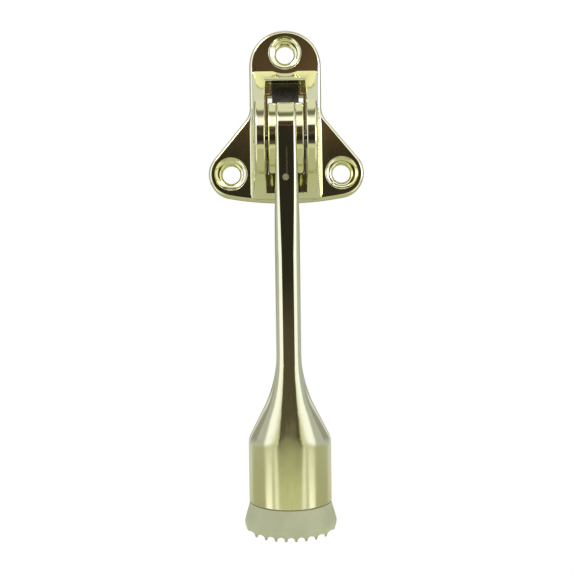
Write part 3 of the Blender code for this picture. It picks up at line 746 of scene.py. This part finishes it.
def make_leaf(material):
    """Bowed leaf: flat ends on the ledges and a bow behind the hub."""
    steps = 90
    across = (-1, -0.5, 0, 0.5, 1)
    bm = bmesh.new()
    rows = []
    for i in range(steps + 1):
        z = leaf_low.z + (leaf_high.z - leaf_low.z) * i / steps
        half = leaf_half_width(z)
        rows.append([bm.verts.new((half * side, -leaf_front(z), z)) for side in across])
    for lower, upper in zip(rows, rows[1:]):
        for i in range(len(lower) - 1):
            bm.faces.new((lower[i], lower[i + 1], upper[i + 1], upper[i]))
    leaf = mesh_object("detent_leaf", bm)
    if leaf.data.polygons[0].normal.y > 0:
        leaf.data.flip_normals()
    solid = leaf.modifiers.new("Thickness", "SOLIDIFY")
    solid.thickness = LEAF_THICKNESS
    solid.offset = -1.0
    combine(leaf, "UNION", [])
    round_edges(leaf, LEAF_EDGE, 2, lambda edge: True)
    finish_surface(leaf, material, 60)
    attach(leaf, "base")
    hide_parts("detent_spring")
    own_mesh(leaf)
    return leaf


# Arm

def bell_half_width(distance):
    """Half width along the arm: straight shank, hollow fillet, cone, soft shoulder, socket."""
    start = SHANK_HALF_WIDTH
    slope = tan(FLARE_ANGLE)
    fillet_radius = FLARE_TANGENT / tan(FLARE_ANGLE / 2)
    cone_start = FLARE_TOP + FLARE_TANGENT
    cone_end = cone_start + (SOCKET_RADIUS - start) / slope
    fillet_end = cone_start + FLARE_TANGENT * cos(FLARE_ANGLE)
    shoulder_tangent = SHOULDER_RADIUS * tan(FLARE_ANGLE / 2)
    shoulder_start = cone_end - shoulder_tangent * cos(FLARE_ANGLE)
    shoulder_end = cone_end + shoulder_tangent
    if distance <= FLARE_TOP:
        return start
    if distance <= fillet_end:
        run = distance - FLARE_TOP
        return start + fillet_radius - sqrt(fillet_radius ** 2 - run ** 2)
    if distance <= shoulder_start:
        return start + (distance - cone_start) * slope
    if distance <= shoulder_end:
        run = shoulder_end - distance
        return SOCKET_RADIUS - SHOULDER_RADIUS + sqrt(SHOULDER_RADIUS ** 2 - run ** 2)
    return SOCKET_RADIUS


CORNER_STEPS = 12
FLAT_STEPS = 6
SIDE_STEPS = 8


def half_section(half_width, corner, front, split):
    """Front half of the arm's section from the left split point round to the right one."""
    inner_x, inner_f = half_width - corner, front - corner
    left = arc((-inner_x, inner_f), corner, pi, pi / 2, CORNER_STEPS)
    right = arc((inner_x, inner_f), corner, pi / 2, 0, CORNER_STEPS)
    flat = [(-inner_x + 2 * inner_x * i / FLAT_STEPS, front) for i in range(1, FLAT_STEPS)]
    side = [split + (inner_f - split) * i / SIDE_STEPS for i in range(SIDE_STEPS)]
    return ([(-half_width, f) for f in side] + left + flat + right
            + [(half_width, f) for f in reversed(side)])


def full_section(half_width, corner, front, back):
    """Whole section as one ring; front and back halves mirror each other about their middle."""
    middle = (front - back) / 2
    corner = min(corner, (front + back) / 2 - 0.2 * MM)
    ahead = half_section(half_width, corner, front - middle, 0.0)
    ring = [(x, middle + f) for x, f in ahead]
    ring += [(x, middle - f) for x, f in reversed(ahead[1:-1])]
    return ring


def round_section(ring):
    """Circle of the socket, its points paired with the ring's by share of the way round."""
    middle = sum(f for _, f in ring) / len(ring)
    span_x = max(x for x, _ in ring)
    span_f = max(f for _, f in ring) - middle
    circle = []
    for x, f in ring:
        angle = atan2((f - middle) / span_f, x / span_x)
        circle.append((SOCKET_RADIUS * cos(angle), SOCKET_RADIUS * sin(angle)))
    return circle


def smooth_step(share):
    share = min(max(share, 0.0), 1.0)
    return share * share * (3 - 2 * share)


def rib_half_width(distance):
    share = smooth_step(distance / SHANK_FULL_AT)
    return RIB_HALF_WIDTH + (SHANK_HALF_WIDTH - RIB_HALF_WIDTH) * share


def corner_radius(distance):
    share = smooth_step(distance / CORNER_FULL_AT)
    return CORNER_AT_HUB + (CORNER_AT_BELL - CORNER_AT_HUB) * share


def arm_ring(distance):
    """Ring of (x, forward) points across the arm at a distance below the pivot."""
    back = SHANK_BACK
    if distance < RIB_BACK:
        back = max(back, sqrt(RIB_BACK ** 2 - distance ** 2))
    if distance <= FLARE_TOP:
        return full_section(rib_half_width(distance), corner_radius(distance), ARM_FRONT, back)
    ring = full_section(SHANK_HALF_WIDTH, CORNER_AT_BELL, ARM_FRONT, SHANK_BACK)
    circle = round_section(ring)
    share = (bell_half_width(distance) - SHANK_HALF_WIDTH) / (SOCKET_RADIUS - SHANK_HALF_WIDTH)
    return [(a + (c - a) * share, b + (d - b) * share) for (a, b), (c, d) in zip(ring, circle)]


def arm_distances():
    cone_length = (SOCKET_RADIUS - SHANK_HALF_WIDTH) / tan(FLARE_ANGLE)
    flare_end = FLARE_TOP + FLARE_TANGENT + cone_length + SHOULDER_RADIUS / 2
    hub_part = [RIB_BACK * sin(pi / 2 * i / 20) for i in range(21)]
    shank_part = [RIB_BACK + (FLARE_TOP - RIB_BACK) * i / 24 for i in range(1, 25)]
    flare_part = [FLARE_TOP + (flare_end - FLARE_TOP) * i / 90 for i in range(1, 91)]
    socket_part = [flare_end + (SOCKET_END - flare_end) * i / 8 for i in range(1, 9)]
    return hub_part + shank_part + flare_part + socket_part


def rib_path():
    """Rib outline over the hub as (forward, up, normal angle), from the front to the back."""
    turn = RIB_CORNER_TURN
    steps = 10
    path = [(ARM_FRONT, 0.0, 0.0)]
    for i in range(steps + 1):
        angle = turn * i / steps
        path.append((ARM_FRONT - RIB_CORNER_RADIUS * (1 - cos(angle)),
                     RIB_CORNER_START + RIB_CORNER_RADIUS * sin(angle), angle))
    forward, up, _ = path[-1]
    crown = (RIB_TOP - up) / (1 - sin(turn))
    for i in range(1, 2 * steps + 1):
        angle = turn + (pi / 2 - turn) * i / (2 * steps)
        path.append((forward - crown * (cos(turn) - cos(angle)),
                     up + crown * (sin(angle) - sin(turn)), angle))
    for i in range(0, 2 * steps + 1):
        angle = pi / 2 + pi / 2 * i / (2 * steps)
        path.append((RIB_BACK * cos(angle), RIB_TOP * sin(angle), angle))
    return path


def arm_skin():
    """Closed skin: the rib swept over the hub, then rings down the shank, bell and socket."""
    bm = bmesh.new()
    rings = [[bm.verts.new((x, -f, -d)) for x, f in arm_ring(d)] for d in arm_distances()]
    for upper, lower in zip(rings, rings[1:]):
        for i in range(len(upper)):
            j = (i + 1) % len(upper)
            bm.faces.new((upper[i], upper[j], lower[j], lower[i]))
    bm.faces.new(rings[-1])
    top = rings[0]
    count = len(top) // 2 + 1
    front_half = top[:count]
    back_half = [top[0]] + top[:count - 2:-1]
    path = rib_path()
    rows = [front_half]
    for forward, up, angle in path[1:-1]:
        row = [front_half[0]]
        for index in range(1, count - 1):
            vertex = front_half[index]
            depth = ARM_FRONT + vertex.co.y
            on_side = index <= SIDE_STEPS - 1 or index >= count - SIDE_STEPS
            if on_side:
                rank = index if index < count / 2 else count - 1 - index
                share = rank / SIDE_STEPS
                rim_f = forward - CORNER_AT_HUB * cos(angle)
                rim_u = up - CORNER_AT_HUB * sin(angle)
                pole_f = -front_half[0].co.y
                place = (vertex.co.x, -(pole_f + (rim_f - pole_f) * share), rim_u * share)
            else:
                place = (vertex.co.x, -(forward - depth * cos(angle)), up - depth * sin(angle))
            row.append(bm.verts.new(place))
        rows.append(row + [front_half[-1]])
    rows.append(back_half)
    for first, second in zip(rows, rows[1:]):
        for i in range(count - 1):
            corners = list(dict.fromkeys((first[i], first[i + 1], second[i + 1], second[i])))
            if len(corners) > 2:
                bm.faces.new(corners)
    return mesh_object("swing_arm_casting", bm)


def socket_rim(arm):
    """Rounds the socket's outer lip."""
    def on_rim(edge):
        return all(abs(v.co.z + SOCKET_END) < 1e-6 and hypot(v.co.x, v.co.y) > SOCKET_RADIUS * 0.9
                   for v in edge.verts)
    round_edges(arm, SOCKET_LIP, 4, on_rim)


def hub_front(arcs):
    """Quarter of the hub's outline as (up, forward), from the front to where it is level."""
    up, forward, start = 0.0, HUB_RADIUS, 0.0
    points = []
    for end, radius in arcs:
        points += hub_arc(up, forward, start, end, radius, 8)
        up += radius * (sin(end) - sin(start))
        forward -= radius * (cos(start) - cos(end))
        start = end
    radius = (HUB_RADIUS - up) / (1 - sin(start))
    points += hub_arc(up, forward, start, pi / 2, radius, 34)
    points.append((HUB_RADIUS, forward - radius * cos(start)))
    return points


def hub_arc(up, forward, start, end, radius, steps):
    """Arc that starts at (up, forward), between two normal angles, without its last point."""
    angles = [start + (end - start) * i / steps for i in range(steps)]
    return [(up + radius * (sin(a) - sin(start)), forward - radius * (cos(start) - cos(a)))
            for a in angles]


def hub_outline():
    """Round hub, its front a little flatter, as (up, forward) points round from the front."""
    upper = hub_front(HUB_UPPER_ARCS)
    lower = [(-up, forward) for up, forward in hub_front(HUB_LOWER_ARCS)]
    steps = 72
    back = [pi / 2 + pi * i / steps for i in range(steps + 1)]
    return upper + [(HUB_RADIUS * sin(a), HUB_RADIUS * cos(a)) for a in back] + lower[:0:-1]


def hub():
    """Hub with both rims rounded."""
    disc = mesh_object("hub", prism(hub_outline(), 2 * HUB_HALF_WIDTH, ON_SIDE))
    round_edges(disc, HUB_EDGE, 4, lambda edge: edge.calc_face_angle(0.0) > radians(60))
    return disc


def make_arm(material):
    """Hub, shank and bell, made in the arm's own frame and then put in its place."""
    arm = arm_skin()
    combine(arm, "UNION", [hub()])
    socket_rim(arm)
    bore = rod("hub_bore", PIN_RADIUS + GAP, 4 * HUB_HALF_WIDTH, "X", (0, 0, 0))
    bore_top = SOCKET_END - SOCKET_BORE_DEPTH
    clear = 2 * MM
    socket = rod("socket_bore", SOCKET_BORE_RADIUS, SOCKET_BORE_DEPTH + clear, "Z",
                 (0, 0, -(bore_top + SOCKET_END + clear) / 2), 128)
    combine(arm, "DIFFERENCE", [bore, socket, ejector_mark()])
    finish_surface(arm, material)
    arm.data.transform(ARM_FRAME)
    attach(arm, "arm")
    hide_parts("swing_arm")
    return arm


def ejector_mark():
    """Shallow dished mark on the front of the shank."""
    clear = 0.5 * MM
    profile = [(0.0, clear), (MARK_RADIUS, clear), (MARK_RADIUS, 0.0),
               (MARK_RADIUS * 0.45, -MARK_DEPTH * 0.85), (0.0, -MARK_DEPTH)]
    return lathe("ejector_mark", profile, 48, FACING_FRONT, (MARK_X, -ARM_FRONT, -MARK_AT))


# Rubber foot

def groove_outline():
    """Side-to-side outline of one tread groove: round root, edges eased into the teeth."""
    half_chord = (TREAD_PITCH - TREAD_LAND) / 2
    radius = (half_chord ** 2 + TREAD_DEPTH ** 2) / (2 * TREAD_DEPTH)
    spread = asin(min(half_chord / radius, 1.0))
    root = arc((0.0, -(radius - TREAD_DEPTH)), radius, pi / 2 + spread, pi / 2 - spread, 16)
    tip = TREAD_LAND / 2
    flare = 0.35 * TREAD_LAND
    below = -2 * MM
    eased = ((tip, -flare), (tip * 0.45, -flare * 0.45 + 0.1 * TREAD_LAND),
             (tip * 0.1, 0.22 * TREAD_LAND))
    left, right = root[0][0], root[-1][0]
    return ([(left - away, depth) for away, depth in eased] + root[1:-1]
            + [(right + away, depth) for away, depth in reversed(eased)]
            + [(right + tip, below), (left - tip, below)])


def foot_profile():
    """Half section of the foot: plug, neck, flare and the drawn-in tread edge."""
    plug_radius = SOCKET_BORE_RADIUS - GAP
    plug_top = SOCKET_END - SOCKET_BORE_DEPTH + GAP
    neck = SOCKET_END + NECK_GAP
    edge = FOOT_EDGE
    profile = [(0.0, -plug_top), (plug_radius - edge, -plug_top), (plug_radius, -plug_top - edge),
               (plug_radius, -neck), (FOOT_NECK_RADIUS - edge, -neck)]
    flare_steps, tread_steps = 12, 8
    for i in range(flare_steps + 1):
        share = i / flare_steps
        depth = neck + edge * 0.6 + (FOOT_WIDEST - neck - edge * 0.6) * share
        spread = 0.75 * share + 0.25 * smooth_step(share)
        profile.append((FOOT_NECK_RADIUS + (FOOT_RADIUS - FOOT_NECK_RADIUS) * spread, -depth))
    drop = FOOT_END - FOOT_WIDEST
    for i in range(1, tread_steps + 1):
        share = i / tread_steps
        inward = 0.35 * share + 0.65 * share ** 2
        radius = FOOT_RADIUS - (FOOT_RADIUS - TREAD_EDGE_RADIUS) * inward
        profile.append((radius, -(FOOT_WIDEST + drop * share)))
    return profile + [(0.0, -FOOT_END)]


def make_foot(material):
    """Moulded foot with grooves from front to back across its tread."""
    foot = lathe("rubber_foot_moulding", foot_profile(), 160)
    across = Matrix(((1, 0, 0, 0), (0, 0, 1, 0), (0, 1, 0, -FOOT_END), (0, 0, 0, 1)))
    grooves = []
    for number in range(TREAD_GROOVES):
        x = (number - (TREAD_GROOVES - 1) / 2) * TREAD_PITCH
        place = Matrix.Translation((x, 0, 0)) @ across
        groove = prism(groove_outline(), 4 * FOOT_RADIUS, place)
        grooves.append(mesh_object(f"groove_{number}", groove))
    combine(foot, "DIFFERENCE", grooves)
    finish_surface(foot, material, 45)
    foot.data.transform(ARM_FRAME)
    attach(foot, "arm")
    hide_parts("rubber_foot")
    return foot


# Studio

CAMERA_HEIGHT = -54.5 * MM
CAMERA_DISTANCE = 253.65 * MM
CAMERA_SIDE = -0.35 * MM
CAMERA_ROLL = radians(-0.75)
CAMERA_LENS = 59.69
CAMERA_SENSOR = 36.0


def make_camera():
    data = bpy.data.cameras.new("camera")
    data.lens = CAMERA_LENS
    data.sensor_width = CAMERA_SENSOR
    data.clip_start = 0.01
    data.clip_end = 20.0
    camera = bpy.data.objects.new("camera", data)
    camera.location = (CAMERA_SIDE, -CAMERA_DISTANCE, CAMERA_HEIGHT)
    level = Matrix.Rotation(pi / 2, 4, "X") @ Matrix.Rotation(CAMERA_ROLL, 4, "Z")
    camera.rotation_euler = level.to_euler()
    bpy.context.scene.collection.objects.link(camera)
    bpy.context.scene.camera = camera


FLOOR_HALF_SIZE = 3.0
FLOOR_DROP = 80 * MM


def make_floor():
    """Pale floor some way below the foot, bright enough to meet the white backdrop unseen."""
    bm = bmesh.new()
    bmesh.ops.create_grid(bm, x_segments=1, y_segments=1, size=FLOOR_HALF_SIZE)
    floor = mesh_object("studio_floor", bm)
    floor.location = (0, 0, cad_low.z - FLOOR_DROP)
    material, _, shader = new_material("pale_floor")
    shader.inputs["Base Color"].default_value = (0.40, 0.40, 0.36, 1.0)
    shader.inputs["Roughness"].default_value = 0.8
    shader.inputs["Emission Color"].default_value = (1.0, 1.0, 0.99, 1.0)
    shader.inputs["Emission Strength"].default_value = 0.72
    floor.data.materials.append(material)
    floor.visible_glossy = False


def band(tree, value, low, high, soft):
    """1 between low and high, falling to 0 over soft at both ends."""
    rise = remap(tree, value, low - soft / 2, low + soft / 2, 0.0, 1.0, smooth=True)
    fall = remap(tree, value, high - soft / 2, high + soft / 2, 1.0, 0.0, smooth=True)
    return maths(tree, "MULTIPLY", rise, fall)


# Zones of the studio, each laid over those before it: azimuth away from the camera's side, the
# same left and right, then elevation, each as low, high and softness in degrees, then the colour
STUDIO_ZONES = (
    # all above the floor
    (None, (-12, 200, 10), (0.80, 0.80, 0.80)),
    # floor far to the sides, and in front
    ((70, 130, 16), (-200, -8, 12), (0.42, 0.42, 0.33)),
    ((-10, 32, 10), (-27, -16, 6), (0.67, 0.69, 0.50)),
    # far sides, beside the door, behind the door
    ((75, 150, 12), (-10, 40, 6), (0.50, 0.52, 0.64)),
    ((112, 150, 10), (0, 55, 16), (0.30, 0.30, 0.312)),
    ((150, 200, 10), (0, 55, 16), (0.72, 0.72, 0.7488)),
    ((163, 200, 10), (-17, 40, 12), (0.30, 0.30, 0.25)),
    # two low bright strips and a bright box on either side
    ((33, 44, 7), (-48, -16, 3), (1.03, 1.03, 1.0918)),
    ((53, 73, 7), (-48, -16, 3), (1.30, 1.30, 1.378)),
    ((34, 76, 12), (-11, 50, 4), (1.12, 1.14, 1.50)),
    # dim gap overhead
    ((-10, 85, 14), (52, 79, 13), (0.18, 0.18, 0.15)),
)
FLOOR_GLOW = (0.50, 0.51, 0.38)
STRIP_ABOVE = ((-10, 80, 14), (32, 90, 4), (1.16, 1.15, 1.42))
STRIP_FADE = (48, 66)
DARK_ROUND_CAMERA = ((-10, 32, 8), (-16, 33, 4))
WARM_PATCH = (9, 17, 4)


def make_world():
    """White studio: bright strip above the camera, side boxes, a dark patch round the camera."""
    world = bpy.data.worlds.new("studio")
    bpy.context.scene.world = world
    world.use_nodes = True
    tree = world.node_tree
    background = tree.nodes["Background"]
    direction = node(tree, "ShaderNodeTexCoord").outputs["Generated"]
    parts = node(tree, "ShaderNodeSeparateXYZ", {"Vector": direction}).outputs
    forward = maths(tree, "MULTIPLY", parts["Y"], -1.0)
    azimuth = maths(tree, "ABSOLUTE", maths(tree, "ARCTAN2", parts["X"], forward))
    elevation = maths(tree, "ARCSINE", parts["Z"])
    deg = radians(1)

    def layer(below, share, colour):
        return mix_colour(tree, share, below, (*colour, 1.0))

    def within(value, low, high, soft):
        return band(tree, value, low * deg, high * deg, soft * deg)

    def zone(around, up):
        if around is None:
            return within(elevation, *up)
        return maths(tree, "MULTIPLY", within(azimuth, *around), within(elevation, *up))

    def step_up(low, high):
        """0 below one elevation, 1 above another."""
        return remap(tree, elevation, low * deg, high * deg, 0.0, 1.0, smooth=True)

    colour = (*FLOOR_GLOW, 1.0)
    for around, up, shade in STUDIO_ZONES:
        colour = layer(colour, zone(around, up), shade)
    around, up, shade = STRIP_ABOVE
    low, high = STRIP_FADE
    fade = remap(tree, elevation, low * deg, high * deg, 1.0, 0.0, smooth=True)
    colour = layer(colour, maths(tree, "MULTIPLY", zone(around, up), fade), shade)
    # The dark patch: near black below the horizon, brown streaks above it
    streaks = noise(tree, stretched(tree, direction, (13.0, 13.0, 5.0)), 1.0, 3.0, 0.6)
    warm = maths(tree, "MULTIPLY", within(elevation, *WARM_PATCH), 0.16)
    streaks = maths(tree, "ADD", streaks, warm)
    low_shade = mix_colour(tree, step_up(-10, -5),
                           (0.085, 0.070, 0.055, 1.0), (0.024, 0.022, 0.020, 1.0))
    high_shade = mix_colour(tree, remap(tree, streaks, 0.46, 0.64, 0.0, 1.0, smooth=True),
                            (0.030, 0.027, 0.021, 1.0), (0.125, 0.074, 0.046, 1.0))
    shade = mix_colour(tree, step_up(2, 6), low_shade, high_shade)
    colour = mix_colour(tree, zone(*DARK_ROUND_CAMERA), colour, shade)
    seen = node(tree, "ShaderNodeLightPath").outputs["Is Camera Ray"]
    colour = layer(colour, seen, (1.0, 1.0, 1.0))
    tree.links.new(colour, background.inputs["Color"])
    background.inputs["Strength"].default_value = 1.0


def area_light(name, place, aim, size, power):
    """Round lamp that the camera doesn't see."""
    data = bpy.data.lights.new(name, "AREA")
    data.shape = "DISK"
    data.size = size
    data.energy = power
    lamp = bpy.data.objects.new(name, data)
    lamp.location = place
    toward = Vector(aim) - Vector(place)
    lamp.rotation_euler = toward.to_track_quat("-Z", "Y").to_euler()
    lamp.visible_camera = False
    bpy.context.scene.collection.objects.link(lamp)


def make_lights():
    middle = (cad_low + cad_high) / 2
    area_light("key", middle + Vector((-0.35, -0.45, 0.55)), middle, 0.30, 1.2)
    area_light("fill", middle + Vector((0.55, -0.35, 0.15)), middle, 0.35, 0.6)


bpy.context.scene.view_settings.view_transform = "Standard"
make_camera()
make_world()
make_lights()
make_floor()

make_base(plated_brass("plated_base_brass"))
# Painted shade: the pin's steel is coloured dark to stand for the shade it lies in between the
# ears and the hub
make_pin(drawn_steel("pin_steel_darkened_for_shade", (0.20, 0.19, 0.16), (0.13, 0.12, 0.10), 0.12, 0.25))
make_leaf(drawn_steel("blackened_spring_steel", (0.13, 0.13, 0.105), (0.085, 0.085, 0.07),
                      0.35, 0.5))
make_arm(plated_brass("plated_arm_brass", SATIN_TOP_Z))
make_foot(pale_rubber("translucent_rubber"))
